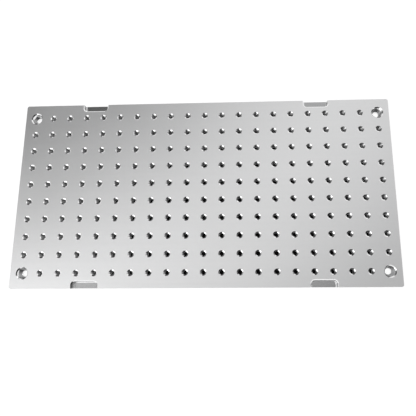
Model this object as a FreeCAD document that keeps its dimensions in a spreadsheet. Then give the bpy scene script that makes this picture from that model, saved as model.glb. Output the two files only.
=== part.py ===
import FreeCAD, Part
import math
import os

import Sketcher

# Machining pallet: one flat aluminium plate with a square grid of tapped holes, a counterbored
# hold-down hole at each corner of the grid and two clamp notches on each long side.
# The origin is at the middle of the underside, +Z is up and the long side lies along X.

SIZES = (
    ("hole_pitch", 25.4, "distance between neighbouring holes, along and across"),
    ("columns", 21, "holes along the plate"),
    ("rows", 10, "holes across the plate"),
    ("end_margin", 17.0, "outer column of holes to the short side"),
    ("side_margin", 21.0, "outer row of holes to the long side"),
    ("plate_thickness", 12.7, "underside to top face"),
    ("plate_corner_radius", 3.2, "upright corners of the plate"),
    ("edge_break", 0.4, "chamfer round the top face and the underside"),
    ("tap_drill_diameter", 6.5, "bore of a tapped hole, at the crests of its thread"),
    ("bolt_hole_diameter", 8.6, "clearance for a hold-down screw"),
    ("counterbore_diameter", 14.4, "seat for the head of a hold-down screw"),
    ("counterbore_depth", 9.5, "top face to that seat"),
    ("counterbore_chamfer", 1.4, "chamfer round the mouth of the counterbore"),
    ("notch_offset_pitches", 6.5, "middle of the plate to the middle of a notch, in hole pitches"),
    ("notch_length", 35.4, "clamp notch, along the plate"),
    ("notch_reach", 9.8, "clamp notch, in from the long side"),
    ("notch_depth", 7.0, "top face to the ledge that the clamp bears on"),
    ("notch_corner_radius", 4.8, "upright inner corners of a notch"),
    ("notch_foot_radius", 2.0, "rounding between the wall of a notch and its ledge"),
    ("notch_chamfer", 1.3, "chamfer round the mouth of a notch"),
)

# Lengths that follow from the sizes, as expressions on the sheet
PLATE_LENGTH = "((Sizes.columns - 1) * Sizes.hole_pitch + 2 * Sizes.end_margin)"
PLATE_WIDTH = "((Sizes.rows - 1) * Sizes.hole_pitch + 2 * Sizes.side_margin)"
NOTCH_MIDDLE = "Sizes.notch_offset_pitches * Sizes.hole_pitch"
HALF_GRID_LENGTH = "(Sizes.columns - 1) * Sizes.hole_pitch / 2"
HALF_GRID_WIDTH = "(Sizes.rows - 1) * Sizes.hole_pitch / 2"

# The plate's name, which its file carries
PLATE = "pallet_plate"

# A notch is cut this far past the side of the plate
OVERRUN = 5.0

# An edge counts as being at a place when it is this near to it
NEAR = 1e-4

# Numbers by which a sketch knows the origin and the points of a line, an arc or a circle
ORIGIN = -1
ORIGIN_POINT = 1
START = 1
END = 2
CENTRE = 3


def make_sheet(document):
    """Spreadsheet with one driving dimension to a row: its name, its value and what it is."""
    sheet = document.addObject("Spreadsheet::Sheet", "Sizes")
    for row, (name, value, note) in enumerate(SIZES, start=1):
        sheet.set(f"A{row}", name)
        sheet.set(f"B{row}", str(value))
        sheet.set(f"C{row}", note)
        sheet.setAlias(f"B{row}", name)
    document.recompute()
    return sheet


def origin_feature(body, role):
    """The body's own plane or axis with this role."""
    return next(part for part in body.Origin.OriginFeatures if part.Role == role)


def add_sketch(body, name, height="0"):
    """Sketch that lies flat at a height above the underside."""
    sketch = body.newObject("Sketcher::SketchObject", name)
    sketch.AttachmentSupport = (origin_feature(body, "XY_Plane"), [""])
    sketch.MapMode = "FlatFace"
    sketch.setExpression("AttachmentOffset.Base.z", height)
    return sketch


def constrain(sketch, name, expression, *reference):
    """Dimension of a sketch, bound to the sheet."""
    index = sketch.addConstraint(Sketcher.Constraint(*reference))
    sketch.renameConstraint(index, name)
    sketch.setExpression(f"Constraints.{name}", expression)


def line(sketch, start, end):
    start_point = FreeCAD.Vector(*start, 0)
    end_point = FreeCAD.Vector(*end, 0)
    return sketch.addGeometry(Part.LineSegment(start_point, end_point))


def circle_at(centre, radius):
    return Part.Circle(FreeCAD.Vector(*centre, 0), FreeCAD.Vector(0, 0, 1), radius)


def draw_plate(sketch):
    """Rectangle about the origin."""
    front = line(sketch, (-1, -1), (1, -1))
    right = line(sketch, (1, -1), (1, 1))
    back = line(sketch, (1, 1), (-1, 1))
    left = line(sketch, (-1, 1), (-1, -1))
    for side, following in ((front, right), (right, back), (back, left), (left, front)):
        sketch.addConstraint(Sketcher.Constraint("Coincident", side, END, following, START))
    for side in (front, back):
        sketch.addConstraint(Sketcher.Constraint("Horizontal", side))
    for side in (left, right):
        sketch.addConstraint(Sketcher.Constraint("Vertical", side))
    sketch.addConstraint(
        Sketcher.Constraint("Symmetric", front, START, back, START, ORIGIN, ORIGIN_POINT)
    )
    constrain(sketch, "plate_length", PLATE_LENGTH, "DistanceX", front, START, front, END, 2.0)
    constrain(sketch, "plate_width", PLATE_WIDTH, "DistanceY", right, START, right, END, 2.0)


def draw_hole(sketch, diameter, along, across):
    """Circle to the right of the origin and behind it."""
    guess = 10.0
    hole = sketch.addGeometry(circle_at((guess, guess), 1.0))
    constrain(sketch, "diameter", diameter, "Diameter", hole, 2.0)
    constrain(sketch, "along", along, "DistanceX", ORIGIN, ORIGIN_POINT, hole, CENTRE, guess)
    constrain(sketch, "across", across, "DistanceY", ORIGIN, ORIGIN_POINT, hole, CENTRE, guess)


def draw_notch(sketch, size):
    """Notch in the back side, right of the middle, with its two inner corners rounded."""
    middle = size["notch_offset_pitches"] * size["hole_pitch"]
    radius = size["notch_corner_radius"]
    left_x = middle - size["notch_length"] / 2
    right_x = middle + size["notch_length"] / 2
    side_y = (size["rows"] - 1) * size["hole_pitch"] / 2 + size["side_margin"]
    inner_y = side_y - size["notch_reach"]
    outer_y = side_y + OVERRUN

    left_turn = circle_at((left_x + radius, inner_y + radius), radius)
    right_turn = circle_at((right_x - radius, inner_y + radius), radius)
    left = line(sketch, (left_x, outer_y), (left_x, inner_y + radius))
    left_corner = sketch.addGeometry(Part.ArcOfCircle(left_turn, math.pi, 1.5 * math.pi))
    inner = line(sketch, (left_x + radius, inner_y), (right_x - radius, inner_y))
    right_corner = sketch.addGeometry(Part.ArcOfCircle(right_turn, 1.5 * math.pi, 2 * math.pi))
    right = line(sketch, (right_x, inner_y + radius), (right_x, outer_y))
    outer = line(sketch, (right_x, outer_y), (left_x, outer_y))

    chain = (left, left_corner, inner, right_corner, right)
    for element, following in zip(chain, chain[1:]):
        sketch.addConstraint(Sketcher.Constraint("Tangent", element, END, following, START))
    sketch.addConstraint(Sketcher.Constraint("Coincident", right, END, outer, START))
    sketch.addConstraint(Sketcher.Constraint("Coincident", outer, END, left, START))
    sketch.addConstraint(Sketcher.Constraint("Vertical", left))
    sketch.addConstraint(Sketcher.Constraint("Vertical", right))
    sketch.addConstraint(Sketcher.Constraint("Horizontal", inner))
    sketch.addConstraint(Sketcher.Constraint("Equal", left_corner, right_corner))
    constrain(
        sketch, "corner_radius", "Sizes.notch_corner_radius", "Radius", left_corner, radius
    )
    constrain(
        sketch, "left_side", f"{NOTCH_MIDDLE} - Sizes.notch_length / 2",
        "DistanceX", ORIGIN, ORIGIN_POINT, left, START, left_x,
    )
    constrain(
        sketch, "right_side", f"{NOTCH_MIDDLE} + Sizes.notch_length / 2",
        "DistanceX", ORIGIN, ORIGIN_POINT, right, END, right_x,
    )
    constrain(
        sketch, "inner_side", f"{PLATE_WIDTH} / 2 - Sizes.notch_reach",
        "DistanceY", ORIGIN, ORIGIN_POINT, inner, START, inner_y,
    )
    constrain(
        sketch, "left_end", f"{PLATE_WIDTH} / 2 + {OVERRUN}",
        "DistanceY", ORIGIN, ORIGIN_POINT, left, START, outer_y,
    )
    constrain(
        sketch, "right_end", f"{PLATE_WIDTH} / 2 + {OVERRUN}",
        "DistanceY", ORIGIN, ORIGIN_POINT, right, END, outer_y,
    )


def add_dress_up(body, kind, name, length_property, length, is_wanted):
    """Chamfer or fillet on the edges of the body's tip that pass a test."""
    base = body.Tip
    edges = [
        f"Edge{index}"
        for index, edge in enumerate(base.Shape.Edges, start=1)
        if is_wanted(edge)
    ]
    feature = body.newObject(f"PartDesign::{kind}", name)
    feature.Base = (base, edges)
    feature.setExpression(length_property, length)
    body.Document.recompute()


def add_through_hole(body, name, diameter, along, across):
    """Hole straight through the plate from its top face."""
    sketch = add_sketch(body, f"{name}_centre", "Sizes.plate_thickness")
    draw_hole(sketch, diameter, along, across)
    body.Document.recompute()
    hole = body.newObject("PartDesign::Hole", name)
    hole.Profile = sketch
    body.Document.recompute()
    hole.DepthType = "ThroughAll"
    hole.setExpression("Diameter", diameter)
    return hole


def add_rectangle_of(body, name, original, columns, rows):
    """Copies of a feature towards the left and the front, out to the grid's far side."""
    pattern = body.newObject("PartDesign::LinearPattern", name)
    pattern.Originals = [original]
    pattern.Direction = (origin_feature(body, "X_Axis"), [""])
    pattern.Direction2 = (origin_feature(body, "Y_Axis"), [""])
    pattern.Reversed = True
    pattern.Reversed2 = True
    pattern.setExpression("Length", columns[0])
    pattern.setExpression("Occurrences", columns[1])
    pattern.setExpression("Length2", rows[0])
    pattern.setExpression("Occurrences2", rows[1])
    body.Tip = pattern
    body.Document.recompute()


def add_blank(body):
    """Flat blank with its upright corners rounded."""
    sketch = add_sketch(body, "plate_outline")
    draw_plate(sketch)
    blank = body.newObject("PartDesign::Pad", "plate_blank")
    blank.Profile = sketch
    blank.setExpression("Length", "Sizes.plate_thickness")
    body.Document.recompute()

    def is_upright(edge):
        return edge.BoundBox.ZLength > NEAR

    add_dress_up(
        body, "Fillet", "plate_corners", "Radius", "Sizes.plate_corner_radius", is_upright
    )


def add_notches(body, size):
    """Four clamp notches, each with a ledge, a rounded foot and a chamfered mouth."""
    sketch = add_sketch(body, "notch_outline", "Sizes.plate_thickness")
    draw_notch(sketch, size)
    notch = body.newObject("PartDesign::Pocket", "clamp_notch")
    notch.Profile = sketch
    notch.setExpression("Length", "Sizes.notch_depth")
    notches = body.newObject("PartDesign::MultiTransform", "clamp_notches")
    notches.Originals = [notch]
    mirrors = []
    for role, name in (("YZ_Plane", "notches_left"), ("XZ_Plane", "notches_front")):
        mirror = body.newObject("PartDesign::Mirrored", name)
        mirror.MirrorPlane = (origin_feature(body, role), [""])
        mirrors.append(mirror)
    notches.Transformations = mirrors
    body.Tip = notches
    body.Document.recompute()

    side_y = body.Shape.BoundBox.YMax
    top = size["plate_thickness"]
    ledge = top - size["notch_depth"]
    inner_y = side_y - size["notch_reach"]

    def is_round_a_notch(edge, height):
        box = edge.BoundBox
        middle_y = abs(box.Center.y)
        is_level = abs(box.ZMin - height) < NEAR and abs(box.ZMax - height) < NEAR
        return is_level and inner_y - NEAR < middle_y < side_y - NEAR

    add_dress_up(
        body, "Fillet", "notch_feet", "Radius", "Sizes.notch_foot_radius",
        lambda edge: is_round_a_notch(edge, ledge),
    )
    add_dress_up(
        body, "Chamfer", "notch_mouths", "Size", "Sizes.notch_chamfer",
        lambda edge: is_round_a_notch(edge, top),
    )


def add_edge_break(body, size):
    """Small chamfer round the top face and the underside, outside the notches."""
    box = body.Shape.BoundBox
    corner = size["plate_corner_radius"]

    def is_on_outline(edge):
        edge_box = edge.BoundBox
        is_level = edge_box.ZLength < NEAR
        is_at_face = min(abs(edge_box.ZMin - box.ZMin), abs(edge_box.ZMax - box.ZMax)) < NEAR
        from_side = box.YMax - max(abs(edge_box.YMin), abs(edge_box.YMax))
        from_end = box.XMax - max(abs(edge_box.XMin), abs(edge_box.XMax))
        is_along_side = from_side < NEAR and edge_box.YLength < corner + NEAR
        is_along_end = from_end < NEAR and edge_box.XLength < corner + NEAR
        return is_level and is_at_face and (is_along_side or is_along_end)

    add_dress_up(body, "Chamfer", "outline_break", "Size", "Sizes.edge_break", is_on_outline)


def add_bolt_holes(body, size):
    """Counterbored hold-down hole at each corner of the grid."""
    hole = add_through_hole(
        body, "bolt_hole", "Sizes.bolt_hole_diameter", HALF_GRID_LENGTH, HALF_GRID_WIDTH
    )
    hole.HoleCutType = "Counterbore"
    hole.setExpression("HoleCutDiameter", "Sizes.counterbore_diameter")
    hole.setExpression("HoleCutDepth", "Sizes.counterbore_depth")
    add_rectangle_of(
        body, "bolt_holes", hole, (f"2 * {HALF_GRID_LENGTH}", "2"), (f"2 * {HALF_GRID_WIDTH}", "2")
    )

    top = size["plate_thickness"]
    counterbore_radius = size["counterbore_diameter"] / 2

    def is_mouth(edge):
        is_at_top = abs(edge.BoundBox.ZMin - top) < NEAR
        is_round = isinstance(edge.Curve, Part.Circle)
        return is_at_top and is_round and abs(edge.Curve.Radius - counterbore_radius) < NEAR

    add_dress_up(
        body, "Chamfer", "bolt_hole_mouths", "Size", "Sizes.counterbore_chamfer", is_mouth
    )


def add_tapped_holes(body):
    """Grid of tapped holes: the full inner rows, then the outer rows without their ends."""
    pitch = "Sizes.hole_pitch"
    fields = (
        ("inner", HALF_GRID_LENGTH, "Sizes.columns",
         f"({HALF_GRID_WIDTH} - {pitch})", "(Sizes.rows - 2)"),
        ("outer", f"({HALF_GRID_LENGTH} - {pitch})", "(Sizes.columns - 2)",
         HALF_GRID_WIDTH, "2"),
    )
    for name, along, columns, across, rows in fields:
        hole = add_through_hole(
            body, f"{name}_tapped_hole", "Sizes.tap_drill_diameter", along, across
        )
        add_rectangle_of(
            body, f"{name}_tapped_holes", hole, (f"2 * {along}", columns), (f"2 * {across}", rows)
        )


def check(document):
    """Stop if a feature failed, a cut removed nothing or the plate is not one sound solid."""
    for item in document.Objects:
        if "Invalid" in item.State or "Error" in item.State:
            raise RuntimeError(f"{item.Label} failed")
    body = document.getObject(PLATE)
    for feature in body.Group:
        base = getattr(feature, "BaseFeature", None)
        if base and feature.Shape.Volume >= base.Shape.Volume:
            if feature.TypeId not in ("PartDesign::Pad", "PartDesign::Fillet"):
                raise RuntimeError(f"{feature.Label} removed nothing")
    shape = body.Shape
    if shape.isNull() or not shape.isValid() or len(shape.Solids) != 1:
        raise RuntimeError(f"{body.Label} is not one sound solid")


def build():
    document = FreeCAD.newDocument("machining_pallet")
    make_sheet(document)
    size = {name: value for name, value, note in SIZES}
    body = document.addObject("PartDesign::Body", PLATE)
    body.Label = PLATE
    add_blank(body)
    add_notches(body, size)
    add_edge_break(body, size)
    add_bolt_holes(body, size)
    add_tapped_holes(body)
    document.recompute()
    check(document)
    os.makedirs("parts", exist_ok=True)
    body.Shape.exportStep(f"parts/{body.Label}.step")


build()
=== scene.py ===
import math

import bmesh
import bpy
from mathutils import Matrix, Vector


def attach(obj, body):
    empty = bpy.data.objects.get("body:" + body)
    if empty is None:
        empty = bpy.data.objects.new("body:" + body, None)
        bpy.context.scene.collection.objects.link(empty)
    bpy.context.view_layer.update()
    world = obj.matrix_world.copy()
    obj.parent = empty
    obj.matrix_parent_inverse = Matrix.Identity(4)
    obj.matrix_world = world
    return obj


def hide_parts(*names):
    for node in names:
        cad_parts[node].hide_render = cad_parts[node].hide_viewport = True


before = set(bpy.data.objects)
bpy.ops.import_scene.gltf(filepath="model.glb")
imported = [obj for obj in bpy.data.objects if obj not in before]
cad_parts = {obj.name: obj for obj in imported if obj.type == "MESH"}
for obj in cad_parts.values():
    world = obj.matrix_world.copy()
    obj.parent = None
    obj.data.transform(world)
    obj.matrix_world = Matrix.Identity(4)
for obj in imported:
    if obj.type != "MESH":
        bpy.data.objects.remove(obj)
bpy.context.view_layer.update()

# Machining pallet in its finished surfaces. All lengths are in metres. The origin is at the middle
# of the underside, +Z is up and the long side lies along X.

MM = 0.001

# The plate and its grid of holes
HOLE_PITCH = 25.4 * MM
COLUMNS = 21
ROWS = 10
PLATE_LENGTH = 542.0 * MM
PLATE_WIDTH = 270.6 * MM
PLATE_THICKNESS = 12.7 * MM
PLATE_CORNER_RADIUS = 3.2 * MM
EDGE_BREAK = 0.4 * MM

# Clamp notches, two on each long side
NOTCH_MIDDLE = 6.5 * HOLE_PITCH
NOTCH_LENGTH = 35.4 * MM
NOTCH_REACH = 9.8 * MM
NOTCH_DEPTH = 7.0 * MM
NOTCH_CORNER_RADIUS = 4.8 * MM
NOTCH_FOOT_RADIUS = 2.0 * MM
NOTCH_CHAMFER = 1.3 * MM

# Tapped holes
BORE_RADIUS = 3.25 * MM
MOUTH_RADIUS = 4.6 * MM
FOOT_RADIUS = 3.85 * MM
COUNTERSINK_SLOPE = 30.0
THREAD_PITCH = 1.411 * MM
FLANK_ANGLE = 55.0

# Counterbored hold-down holes at the corners of the grid
BOLT_HOLE_RADIUS = 4.3 * MM
BOLT_HOLE_BREAK = 0.25 * MM
COUNTERBORE_RADIUS = 7.2 * MM
COUNTERBORE_DEPTH = 9.5 * MM
COUNTERBORE_CHAMFER = 1.4 * MM

# A cutter reaches this far past the faces of the plate
OVERSHOOT = 1.0 * MM

# Edges and points count as being at a place when they are this near to it
NEAR = 0.01 * MM
# Points this near to each other are one
SAME = 0.001 * MM
# A face counts as upright when its normal rises or falls less than this
LEVEL_NORMAL = 0.1

# How finely round forms are divided
CORNER_SEGMENTS = 8
FOOT_SEGMENTS = 5
TAPPED_HOLE_STEPS = 24
BOLT_HOLE_STEPS = 64
# Faces that meet at more than this, in degrees, meet in a sharp edge
SHARP_ANGLE = 30.0

# Finishes, in the order of the plate's material slots
MILLED = 0
BRIGHT_CUT = 1
THREADED = 2
# The pocketed faces carry painted shade in their darker colour.
POCKETED = 3

# Colours of each finish, and its roughness, from one end of its pattern to the other
MILLED_TINTS = ((0.76, 0.762, 0.766), (0.81, 0.811, 0.813))
MILLED_ROUGHNESS = (0.39, 0.46)
BRIGHT_TINTS = ((0.86, 0.862, 0.866), (0.92, 0.921, 0.923))
BRIGHT_ROUGHNESS = (0.12, 0.19)
# Notch pockets and counterbore seats: end-milled roughness, with painted shade darkening their
# colour where the pocket walls would shade them.
POCKET_SHADE_TINTS = ((0.36, 0.362, 0.366), (0.42, 0.421, 0.423))
POCKETED_ROUGHNESS = (0.24, 0.32)
# The thread's colour runs from its crests to painted shade in its grooves, where the crests would
# shade the roots.
THREAD_TINTS_TO_SHADED_ROOT = ((0.72, 0.722, 0.726), (0.03, 0.031, 0.032))
THREAD_ROUGHNESS = (0.3, 0.45)

# Grain of the cutter: its height, noise scales, and how much longer than wide its marks are
GRAIN_HEIGHT = 0.002 * MM
FINE_GRAIN = 3000.0
FINE_STRETCH = (0.02, 1.0, 1.0)
COARSE_GRAIN = 220.0
COARSE_STRETCH = (0.05, 1.0, 1.0)
CLOUD_SCALE = 9.0
# Share of the grain in the milled faces' colour and roughness, which the clouding also changes
GRAIN_IN_COLOUR = 0.35
GRAIN_IN_ROUGHNESS = 0.4
MIXED_RANGE = (0.4, 1.0)

# Thread, in parts of its pitch: where a flank turns over, and where the painted shade of a groove
# sets in
FLANK_TURNS = (0.80, 0.90)
ROOT_SHADE = (0.30, 0.60)

# Floor. Painted shade: its paint and its glow turn dark where the open share of the space above it
# falls through CLOSED_IN.
FLOOR_HALF_SIZE = 6.0
OPENNESS_REACH = 30.0 * MM
OPENNESS_SAMPLES = 64
CLOSED_IN = (0.13, 0.20)
FLOOR_GLOW = 0.9
PAINTED_SHADE_COLOUR = (0.02, 0.02, 0.02)
PALE_PAINT = (0.25, 0.25, 0.25)

# Light of the room: its level in the middle, what it gains to the right, and what it gains with
# a second measure, which is right times back for the low walls, the distance to the front or
# back for the walls, and the way back for the ceiling
HORIZON_LEVEL = 1.0
DARKEST = 0.02
LOW_WALLS = (0.2, 0.0, 2.2)
WALLS = (0.24, -0.28, -0.27)
CEILING = (0.47, 0.34, -0.45)
# Heights, on a sphere of radius 1, between which the room changes from its horizon to the low
# walls, from these to the walls, and from the walls to the ceiling
ABOVE_HORIZON = (0.18, 0.26)
ABOVE_LOW_WALLS = (0.36, 0.46)
ABOVE_WALLS = (0.50, 0.75)
# The ceiling falls to this share of its light over the front
FRONT_SHARE = 0.12
FRONT_FADE = (-0.40, -0.08)

# Softboxes: name, azimuth, elevation and turn in degrees, distance, width, height and level
SOFTBOXES = (
    ("left_softbox", 268.0, 60.0, 38.4, 1.8, 0.5, 1.2, 0.66),
    ("overhead_softbox", 25.6, 65.5, -11.7, 1.8, 1.2, 3.5, 0.66),
    ("key_softbox", 229.0, 38.5, 0.0, 1.8, 1.4, 1.3, 1.8),
)

# Camera, with its turns in degrees and its lens and sensor in millimetres
CAMERA_PLACE = (0.0645, -0.1196, 0.5816)
CAMERA_TURNS = (11.958, 2.197, -0.317)
CAMERA_SHIFT = (-0.0628, -0.0439)
LENS = 35.254
SENSOR_WIDTH = 36.0
NEAREST_SEEN = 0.01


def block(form, low, high):
    """Box between two corners."""
    low, high = Vector(low), Vector(high)
    place = Matrix.Translation((low + high) / 2) @ Matrix.Diagonal((high - low).to_4d())
    bmesh.ops.create_cube(form, size=1.0, matrix=place)


def work_edges(form, edges, size, segments, finish=-1):
    """Rounds edges to a radius, or breaks them with one flat, in their faces' finish or another."""
    bmesh.ops.bevel(
        form, geom=edges, offset=size, offset_type="OFFSET", affect="EDGES",
        segments=segments, profile=0.5, material=finish, clamp_overlap=True,
    )


def is_upright(edge):
    start, end = (vert.co for vert in edge.verts)
    return (start.xy - end.xy).length < NEAR


def is_level(edge, height):
    return all(abs(vert.co.z - height) < NEAR for vert in edge.verts)


def is_on_side(edge):
    """Whether an edge lies along a long side of the plate."""
    return all(abs(vert.co.y) > PLATE_WIDTH / 2 - NEAR for vert in edge.verts)


def is_in_notch(edge):
    """Whether an edge lies within the outline of a clamp notch."""
    inner_y = PLATE_WIDTH / 2 - NOTCH_REACH
    reach = NOTCH_LENGTH / 2 + NEAR
    return all(
        abs(abs(vert.co.x) - NOTCH_MIDDLE) < reach and abs(vert.co.y) > inner_y - NEAR
        for vert in edge.verts
    )


def piece_from(form, name, materials):
    """Object with the mesh of a form, which is freed, and these materials in its slots."""
    mesh = bpy.data.meshes.new(name)
    for material in materials:
        mesh.materials.append(material)
    form.to_mesh(mesh)
    form.free()
    piece = bpy.data.objects.new(name, mesh)
    bpy.context.scene.collection.objects.link(piece)
    return piece


def settle(piece):
    """Puts the piece's modifiers into its mesh."""
    depsgraph = bpy.context.evaluated_depsgraph_get()
    shaped = bpy.data.meshes.new_from_object(
        piece.evaluated_get(depsgraph), preserve_all_data_layers=True, depsgraph=depsgraph
    )
    rough = piece.data
    piece.modifiers.clear()
    piece.data = shaped
    bpy.data.meshes.remove(rough)


def cut(piece, cutter):
    """Takes the cutter's shape out of the piece and removes the cutter."""
    difference = piece.modifiers.new("cut", "BOOLEAN")
    difference.operation = "DIFFERENCE"
    difference.solver = "EXACT"
    difference.object = cutter
    settle(piece)
    mesh = cutter.data
    bpy.data.objects.remove(cutter)
    bpy.data.meshes.remove(mesh)


def turned(form, profile, finishes, steps):
    """Solid of revolution about Z from (radius, height) points, both ends on the axis.

    Each line between two points has its finish.
    """
    verts = [form.verts.new((radius, 0.0, height)) for radius, height in profile]
    edges = [form.edges.new(pair) for pair in zip(verts, verts[1:])]
    middles = [
        ((edge.verts[0].co.z + edge.verts[1].co.z) / 2, finish)
        for edge, finish in zip(edges, finishes)
    ]
    bmesh.ops.spin(
        form, geom=verts + edges, cent=(0, 0, 0), axis=(0, 0, 1), dvec=(0, 0, 0),
        angle=2 * math.pi, steps=steps, use_merge=True,
    )
    bmesh.ops.remove_doubles(form, verts=form.verts[:], dist=NEAR)
    bmesh.ops.recalc_face_normals(form, faces=form.faces[:])
    for face in form.faces:
        height = face.calc_center_median().z
        nearest = min(middles, key=lambda middle: abs(middle[0] - height))
        face.material_index = nearest[1]


def repeat(form, places):
    """Leaves one copy of the form at each place."""
    pattern = form.verts[:] + form.edges[:] + form.faces[:]
    for place in places:
        copy = bmesh.ops.duplicate(form, geom=pattern)["geom"]
        verts = [item for item in copy if isinstance(item, bmesh.types.BMVert)]
        bmesh.ops.translate(form, verts=verts, vec=place)
    bmesh.ops.delete(form, geom=pattern, context="VERTS")


def plate_blank(finishes):
    """Plate with rounded upright corners."""
    form = bmesh.new()
    block(
        form, (-PLATE_LENGTH / 2, -PLATE_WIDTH / 2, 0.0),
        (PLATE_LENGTH / 2, PLATE_WIDTH / 2, PLATE_THICKNESS),
    )
    corners = [edge for edge in form.edges if is_upright(edge)]
    work_edges(form, corners, PLATE_CORNER_RADIUS, CORNER_SEGMENTS)
    return piece_from(form, "machined_plate", finishes)


def notch_cutter(finishes):
    """Four blocks with rounded inner corners, each open to its side of the plate."""
    form = bmesh.new()
    for along in (-1, 1):
        for across in (-1, 1):
            middle = along * NOTCH_MIDDLE
            sides = (
                across * (PLATE_WIDTH / 2 - NOTCH_REACH),
                across * (PLATE_WIDTH / 2 + OVERSHOOT),
            )
            block(
                form,
                (middle - NOTCH_LENGTH / 2, min(sides), PLATE_THICKNESS - NOTCH_DEPTH),
                (middle + NOTCH_LENGTH / 2, max(sides), PLATE_THICKNESS + OVERSHOOT),
            )
    corners = [
        edge for edge in form.edges
        if is_upright(edge) and abs(edge.verts[0].co.y) < PLATE_WIDTH / 2
    ]
    work_edges(form, corners, NOTCH_CORNER_RADIUS, CORNER_SEGMENTS)
    for face in form.faces:
        face.material_index = POCKETED
    return piece_from(form, "notch_cutter", finishes)


def dress_edges(piece):
    """Rounded feet and chamfered mouths in the notches, and a small break round the plate."""
    form = bmesh.new()
    form.from_mesh(piece.data)
    ledge = PLATE_THICKNESS - NOTCH_DEPTH
    feet = [
        edge for edge in form.edges
        if is_level(edge, ledge) and is_in_notch(edge) and not is_on_side(edge)
    ]
    work_edges(form, feet, NOTCH_FOOT_RADIUS, FOOT_SEGMENTS, MILLED)
    mouths = [
        edge for edge in form.edges
        if is_level(edge, PLATE_THICKNESS) and is_in_notch(edge) and not is_on_side(edge)
    ]
    work_edges(form, mouths, NOTCH_CHAMFER, 1, BRIGHT_CUT)
    outline = [
        edge for edge in form.edges
        if (is_level(edge, 0.0) or is_level(edge, PLATE_THICKNESS))
        and any(abs(face.normal.z) < LEVEL_NORMAL for face in edge.link_faces)
    ]
    work_edges(form, outline, EDGE_BREAK, 1)
    form.to_mesh(piece.data)
    form.free()


def tapped_hole_cutter(finishes):
    """Bores of the tapped holes with their countersunk ends."""
    slope = math.tan(math.radians(COUNTERSINK_SLOPE))
    sink = (MOUTH_RADIUS - BORE_RADIUS) * slope
    relief = (FOOT_RADIUS - BORE_RADIUS) * slope
    profile = (
        (0.0, -OVERSHOOT),
        (FOOT_RADIUS + OVERSHOOT / slope, -OVERSHOOT),
        (BORE_RADIUS, relief),
        (BORE_RADIUS, PLATE_THICKNESS - sink),
        (MOUTH_RADIUS + OVERSHOOT / slope, PLATE_THICKNESS + OVERSHOOT),
        (0.0, PLATE_THICKNESS + OVERSHOOT),
    )
    form = bmesh.new()
    finishes_along = (MILLED, BRIGHT_CUT, THREADED, BRIGHT_CUT, MILLED)
    turned(form, profile, finishes_along, TAPPED_HOLE_STEPS)
    places = [
        Vector(((column - (COLUMNS - 1) / 2) * HOLE_PITCH, (row - (ROWS - 1) / 2) * HOLE_PITCH, 0))
        for column in range(COLUMNS)
        for row in range(ROWS)
        if not (column in (0, COLUMNS - 1) and row in (0, ROWS - 1))
    ]
    repeat(form, places)
    return piece_from(form, "tapped_hole_cutter", finishes)


def bolt_hole_cutter(finishes):
    """Hold-down holes with their counterbores."""
    seat = PLATE_THICKNESS - COUNTERBORE_DEPTH
    profile = (
        (0.0, -OVERSHOOT),
        (BOLT_HOLE_RADIUS + BOLT_HOLE_BREAK + OVERSHOOT, -OVERSHOOT),
        (BOLT_HOLE_RADIUS, BOLT_HOLE_BREAK),
        (BOLT_HOLE_RADIUS, seat - BOLT_HOLE_BREAK),
        (BOLT_HOLE_RADIUS + BOLT_HOLE_BREAK, seat),
        (COUNTERBORE_RADIUS, seat),
        (COUNTERBORE_RADIUS, PLATE_THICKNESS - COUNTERBORE_CHAMFER),
        (COUNTERBORE_RADIUS + COUNTERBORE_CHAMFER + OVERSHOOT, PLATE_THICKNESS + OVERSHOOT),
        (0.0, PLATE_THICKNESS + OVERSHOOT),
    )
    form = bmesh.new()
    finishes_along = (
        MILLED, BRIGHT_CUT, BRIGHT_CUT, BRIGHT_CUT, POCKETED, BRIGHT_CUT, BRIGHT_CUT, MILLED,
    )
    turned(form, profile, finishes_along, BOLT_HOLE_STEPS)
    along = (COLUMNS - 1) / 2 * HOLE_PITCH
    across = (ROWS - 1) / 2 * HOLE_PITCH
    repeat(form, [Vector((x, y, 0)) for x in (-along, along) for y in (-across, across)])
    return piece_from(form, "bolt_hole_cutter", finishes)


def finish_shading(piece):
    """Smooth turned faces, crisp machined edges and truly flat flats."""
    form = bmesh.new()
    form.from_mesh(piece.data)
    bmesh.ops.remove_doubles(form, verts=form.verts[:], dist=SAME)
    bmesh.ops.dissolve_degenerate(form, edges=form.edges[:], dist=SAME)
    form.to_mesh(piece.data)
    form.free()
    piece.data.shade_smooth()
    piece.data.set_sharp_from_angle(angle=math.radians(SHARP_ANGLE))
    weighting = piece.modifiers.new("flat_flats", "WEIGHTED_NORMAL")
    weighting.keep_sharp = True
    settle(piece)


# Effects that the finishes share

def new_group(name, inputs, outputs):
    """Node group with float, vector or colour sockets, and its group input and output nodes."""
    group = bpy.data.node_groups.new(name, "ShaderNodeTree")
    for socket, kind, value in inputs:
        item = group.interface.new_socket(socket, in_out="INPUT", socket_type=kind)
        if value is not None:
            item.default_value = value
    for socket, kind in outputs:
        group.interface.new_socket(socket, in_out="OUTPUT", socket_type=kind)
    return group, group.nodes.new("NodeGroupInput"), group.nodes.new("NodeGroupOutput")


def math_node(tree, operation, first, second=None, third=None):
    """Math node whose inputs are numbers or sockets. Returns its output."""
    node = tree.nodes.new("ShaderNodeMath")
    node.operation = operation
    for socket, value in zip(node.inputs, (first, second, third)):
        if isinstance(value, bpy.types.NodeSocket):
            tree.links.new(value, socket)
        elif value is not None:
            socket.default_value = value
    return node.outputs[0]


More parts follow.
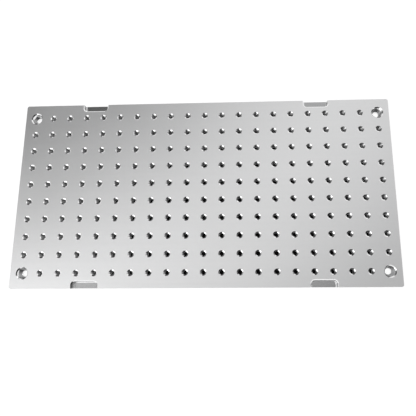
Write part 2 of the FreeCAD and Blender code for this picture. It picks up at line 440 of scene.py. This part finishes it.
def spread(tree, value, low, high, source_low=0.0, source_high=1.0):
    """Maps a value from one range to another, held at the ends."""
    node = tree.nodes.new("ShaderNodeMapRange")
    node.clamp = True
    tree.links.new(value, node.inputs["Value"])
    node.inputs["From Min"].default_value = source_low
    node.inputs["From Max"].default_value = source_high
    for name, end in (("To Min", low), ("To Max", high)):
        if isinstance(end, bpy.types.NodeSocket):
            tree.links.new(end, node.inputs[name])
        else:
            node.inputs[name].default_value = end
    return node.outputs["Result"]


def noise(tree, vector, scale, detail, roughness=0.5):
    """Noise texture. Returns its factor."""
    node = tree.nodes.new("ShaderNodeTexNoise")
    tree.links.new(vector, node.inputs["Vector"])
    node.inputs["Scale"].default_value = scale
    node.inputs["Detail"].default_value = detail
    node.inputs["Roughness"].default_value = roughness
    return node.outputs["Fac"]


def stretched(tree, vector, scale):
    """Coordinates scaled along each axis."""
    node = tree.nodes.new("ShaderNodeMapping")
    tree.links.new(vector, node.inputs["Vector"])
    node.inputs["Scale"].default_value = scale
    return node.outputs["Vector"]


def make_grain_group():
    """Fine parallel marks of a cutter or an abrasive, along X."""
    group, given, result = new_group(
        "cutting_grain",
        (("Vector", "NodeSocketVector", None), ("Scale", "NodeSocketFloat", 1.0)),
        (("Fine", "NodeSocketFloat"), ("Coarse", "NodeSocketFloat")),
    )
    scaled = group.nodes.new("ShaderNodeVectorMath")
    scaled.operation = "SCALE"
    group.links.new(given.outputs["Vector"], scaled.inputs[0])
    group.links.new(given.outputs["Scale"], scaled.inputs["Scale"])
    fine = noise(group, stretched(group, scaled.outputs[0], FINE_STRETCH), FINE_GRAIN, 3.0)
    coarse = noise(group, stretched(group, scaled.outputs[0], COARSE_STRETCH), COARSE_GRAIN, 2.0)
    group.links.new(fine, result.inputs["Fine"])
    group.links.new(coarse, result.inputs["Coarse"])
    return group


def make_handling_group():
    """Soft clouding that handling and cleaning leave on bare aluminium."""
    group, given, result = new_group(
        "handling_marks",
        (("Vector", "NodeSocketVector", None),),
        (("Clouding", "NodeSocketFloat"),),
    )
    clouds = noise(group, given.outputs["Vector"], CLOUD_SCALE, 4.0, 0.55)
    group.links.new(clouds, result.inputs["Clouding"])
    return group


def make_thread_group():
    """Screw thread in each hole of the grid, as a helix about the hole's axis.

    Normal is that of its flanks, and Root is 1 at the bottom of a groove and 0 at a crest.
    """
    group, given, result = new_group(
        "screw_thread",
        (("Vector", "NodeSocketVector", None),),
        (("Normal", "NodeSocketVector"), ("Root", "NodeSocketFloat")),
    )
    parts = group.nodes.new("ShaderNodeSeparateXYZ")
    group.links.new(given.outputs["Vector"], parts.inputs[0])

    def from_axis(value, count):
        shift = (count - 1) / 2 * HOLE_PITCH
        steps = math_node(group, "DIVIDE", math_node(group, "ADD", value, shift), HOLE_PITCH)
        return math_node(group, "SUBTRACT", steps, math_node(group, "ROUND", steps))

    along = from_axis(parts.outputs["X"], COLUMNS)
    across = from_axis(parts.outputs["Y"], ROWS)
    turn = math_node(group, "DIVIDE", math_node(group, "ARCTAN2", across, along), 2 * math.pi)
    rise = math_node(group, "DIVIDE", parts.outputs["Z"], THREAD_PITCH)
    phase = math_node(group, "FRACT", math_node(group, "SUBTRACT", rise, turn))

    inward = group.nodes.new("ShaderNodeCombineXYZ")
    group.links.new(math_node(group, "MULTIPLY", along, -1.0), inward.inputs["X"])
    group.links.new(math_node(group, "MULTIPLY", across, -1.0), inward.inputs["Y"])
    radius = BORE_RADIUS / HOLE_PITCH
    tilt = math.tan(math.radians(FLANK_ANGLE)) * radius
    group.links.new(spread(group, phase, tilt, -tilt, *FLANK_TURNS), inward.inputs["Z"])
    flank = group.nodes.new("ShaderNodeVectorMath")
    flank.operation = "NORMALIZE"
    group.links.new(inward.outputs[0], flank.inputs[0])
    to_world = group.nodes.new("ShaderNodeVectorTransform")
    to_world.vector_type = "NORMAL"
    to_world.convert_from = "OBJECT"
    to_world.convert_to = "WORLD"
    group.links.new(flank.outputs[0], to_world.inputs[0])
    group.links.new(to_world.outputs[0], result.inputs["Normal"])
    group.links.new(spread(group, phase, 0.0, 1.0, *ROOT_SHADE), result.inputs["Root"])
    return group


GRAIN = make_grain_group()
HANDLING = make_handling_group()
THREAD = make_thread_group()


def new_finish(name):
    """Metal finish: its material, shader and Object coordinates."""
    material = bpy.data.materials.new(name)
    material.use_nodes = True
    shader = material.node_tree.nodes["Principled BSDF"]
    shader.inputs["Metallic"].default_value = 1.0
    place = material.node_tree.nodes.new("ShaderNodeTexCoord").outputs["Object"]
    return material, shader, place


def use_group(tree, group, vector):
    node = tree.nodes.new("ShaderNodeGroup")
    node.node_tree = group
    tree.links.new(vector, node.inputs["Vector"])
    return node


def tint(tree, factor, low, high):
    """Colour between two, by a factor."""
    node = tree.nodes.new("ShaderNodeMix")
    node.data_type = "RGBA"
    tree.links.new(factor, node.inputs["Factor"])
    node.inputs["A"].default_value = (*low, 1.0)
    node.inputs["B"].default_value = (*high, 1.0)
    return node.outputs["Result"]


def raise_surface(tree, shader, height, distance):
    """Relief of a height from 0 to 1, over this distance."""
    bump = tree.nodes.new("ShaderNodeBump")
    bump.inputs["Distance"].default_value = distance
    tree.links.new(height, bump.inputs["Height"])
    tree.links.new(bump.outputs["Normal"], shader.inputs["Normal"])


def milled_finish():
    """Satin faces: fine grain along the plate and a slight clouding."""
    material, shader, place = new_finish("milled_aluminium")
    tree = material.node_tree
    grain = use_group(tree, GRAIN, place)
    clouding = use_group(tree, HANDLING, place).outputs["Clouding"]
    shade = math_node(tree, "MULTIPLY_ADD", grain.outputs["Coarse"], GRAIN_IN_COLOUR, clouding)
    shade = spread(tree, shade, 0.0, 1.0, *MIXED_RANGE)
    tree.links.new(tint(tree, shade, *MILLED_TINTS), shader.inputs["Base Color"])
    rough = math_node(tree, "MULTIPLY_ADD", grain.outputs["Fine"], GRAIN_IN_ROUGHNESS, clouding)
    rough = spread(tree, rough, *MILLED_ROUGHNESS, *MIXED_RANGE)
    tree.links.new(rough, shader.inputs["Roughness"])
    raise_surface(tree, shader, grain.outputs["Fine"], GRAIN_HEIGHT)
    return material


def grained_finish(name, tints, roughness):
    """Finish that only the grain of its cutter changes."""
    material, shader, place = new_finish(name)
    tree = material.node_tree
    grain = use_group(tree, GRAIN, place)
    tree.links.new(tint(tree, grain.outputs["Coarse"], *tints), shader.inputs["Base Color"])
    tree.links.new(spread(tree, grain.outputs["Fine"], *roughness), shader.inputs["Roughness"])
    raise_surface(tree, shader, grain.outputs["Fine"], GRAIN_HEIGHT)
    return material


def threaded_finish():
    """Thread in a bore, with painted shade that darkens its roots."""
    material, shader, place = new_finish("threaded_aluminium")
    tree = material.node_tree
    thread = use_group(tree, THREAD, place)
    root = thread.outputs["Root"]
    tree.links.new(tint(tree, root, *THREAD_TINTS_TO_SHADED_ROOT), shader.inputs["Base Color"])
    tree.links.new(spread(tree, root, *THREAD_ROUGHNESS), shader.inputs["Roughness"])
    tree.links.new(thread.outputs["Normal"], shader.inputs["Normal"])
    return material


def build_plate():
    """Plate with its notches and holes. The finishes are in the order of the slots."""
    finishes = (
        milled_finish(),
        grained_finish("bright_cut_aluminium", BRIGHT_TINTS, BRIGHT_ROUGHNESS),
        threaded_finish(),
        # Notch pockets and counterbore seats, their colour darkened with painted shade.
        grained_finish("end_milled_aluminium_in_painted_shade", POCKET_SHADE_TINTS, POCKETED_ROUGHNESS),
    )
    piece = plate_blank(finishes)
    cut(piece, notch_cutter(finishes))
    dress_edges(piece)
    cut(piece, bolt_hole_cutter(finishes))
    cut(piece, tapped_hole_cutter(finishes))
    finish_shading(piece)
    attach(piece, "root")
    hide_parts("pallet_plate")


# Studio

def seen_directly(tree):
    """1 for what the camera sees, straight or in metal or glass, and 0 for other light."""
    path = tree.nodes.new("ShaderNodeLightPath")
    seen = math_node(tree, "ADD", path.outputs["Is Camera Ray"], path.outputs["Is Glossy Ray"])
    seen = math_node(tree, "ADD", seen, path.outputs["Is Transmission Ray"])
    return math_node(tree, "MINIMUM", seen, 1.0)


def make_floor():
    """Plain white floor, with painted shade that turns it dark where the plate closes over it."""
    form = bmesh.new()
    bmesh.ops.create_grid(form, x_segments=1, y_segments=1, size=FLOOR_HALF_SIZE)
    material = bpy.data.materials.new("studio_floor")
    floor = piece_from(form, "floor", (material,))
    material.use_nodes = True
    tree = material.node_tree
    tree.nodes.clear()
    paint = tree.nodes.new("ShaderNodeBsdfDiffuse")
    white = tree.nodes.new("ShaderNodeEmission")
    openness = tree.nodes.new("ShaderNodeAmbientOcclusion")
    openness.samples = OPENNESS_SAMPLES
    openness.inputs["Distance"].default_value = OPENNESS_REACH
    # Painted shade: the glow and the paint fall dark where little of the space above is open.
    glow = spread(tree, openness.outputs["AO"], 0.0, FLOOR_GLOW, *CLOSED_IN)
    unshaded_share = spread(tree, glow, 0.0, 1.0, 0.0, 0.5)
    tree.links.new(tint(tree, unshaded_share, PAINTED_SHADE_COLOUR, PALE_PAINT), paint.inputs["Color"])
    glow = math_node(tree, "MULTIPLY", glow, seen_directly(tree))
    tree.links.new(glow, white.inputs["Strength"])
    both = tree.nodes.new("ShaderNodeAddShader")
    tree.links.new(paint.outputs[0], both.inputs[0])
    tree.links.new(white.outputs[0], both.inputs[1])
    surface = tree.nodes.new("ShaderNodeOutputMaterial").inputs["Surface"]
    tree.links.new(both.outputs[0], surface)


def make_world():
    """Room with a white horizon, dark walls, and a ceiling that is brighter to the right."""
    world = bpy.data.worlds.new("studio")
    bpy.context.scene.world = world
    world.use_nodes = True
    tree = world.node_tree
    parts = tree.nodes.new("ShaderNodeSeparateXYZ")
    tree.links.new(tree.nodes.new("ShaderNodeTexCoord").outputs["Generated"], parts.inputs[0])

    right, back, up = (parts.outputs[axis] for axis in "XYZ")

    def slope(other_way, middle, to_right, to_other):
        level = math_node(tree, "MULTIPLY_ADD", other_way, to_other, middle)
        level = math_node(tree, "MULTIPLY_ADD", right, to_right, level)
        return spread(tree, level, DARKEST, 1.0, DARKEST, 1.0)

    low_walls = slope(math_node(tree, "MULTIPLY", right, back), *LOW_WALLS)
    walls = slope(math_node(tree, "ABSOLUTE", back), *WALLS)
    ceiling = slope(back, *CEILING)
    over_front = spread(tree, back, FRONT_SHARE, 1.0, *FRONT_FADE)
    ceiling = math_node(tree, "MULTIPLY", ceiling, over_front)
    level = spread(tree, up, low_walls, walls, *ABOVE_LOW_WALLS)
    level = spread(tree, up, HORIZON_LEVEL, level, *ABOVE_HORIZON)
    level = spread(tree, up, level, ceiling, *ABOVE_WALLS)
    tree.links.new(level, tree.nodes["Background"].inputs["Strength"])
    tree.nodes["Background"].inputs["Color"].default_value = (1.0, 1.0, 1.0, 1.0)


def add_softbox(name, azimuth, elevation, turn, distance, width, height, level):
    """Softbox that faces the plate. Its level is the brightness of its face, where white is 1.

    Azimuth 0 is behind the plate and 90 to its right; turn is about the way that it faces.
    """
    lamp = bpy.data.lights.new(name, "AREA")
    lamp.shape = "RECTANGLE"
    lamp.size = width
    lamp.size_y = height
    lamp.energy = level * math.pi * width * height
    softbox = bpy.data.objects.new(name, lamp)
    softbox.matrix_world = (
        Matrix.Rotation(-math.radians(azimuth), 4, "Z")
        @ Matrix.Rotation(math.radians(elevation - 90.0), 4, "X")
        @ Matrix.Rotation(math.radians(turn), 4, "Z")
        @ Matrix.Translation((0.0, 0.0, distance))
    )
    bpy.context.scene.collection.objects.link(softbox)


def make_camera():
    camera = bpy.data.cameras.new("camera")
    camera.sensor_width = SENSOR_WIDTH
    camera.lens = LENS
    camera.shift_x, camera.shift_y = CAMERA_SHIFT
    camera.clip_start = NEAREST_SEEN
    view = bpy.data.objects.new("camera", camera)
    view.location = CAMERA_PLACE
    view.rotation_euler = [math.radians(turn) for turn in CAMERA_TURNS]
    bpy.context.scene.collection.objects.link(view)
    bpy.context.scene.camera = view


build_plate()
make_floor()
make_world()
for softbox in SOFTBOXES:
    add_softbox(*softbox)
make_camera()
bpy.context.scene.view_settings.view_transform = "Standard"
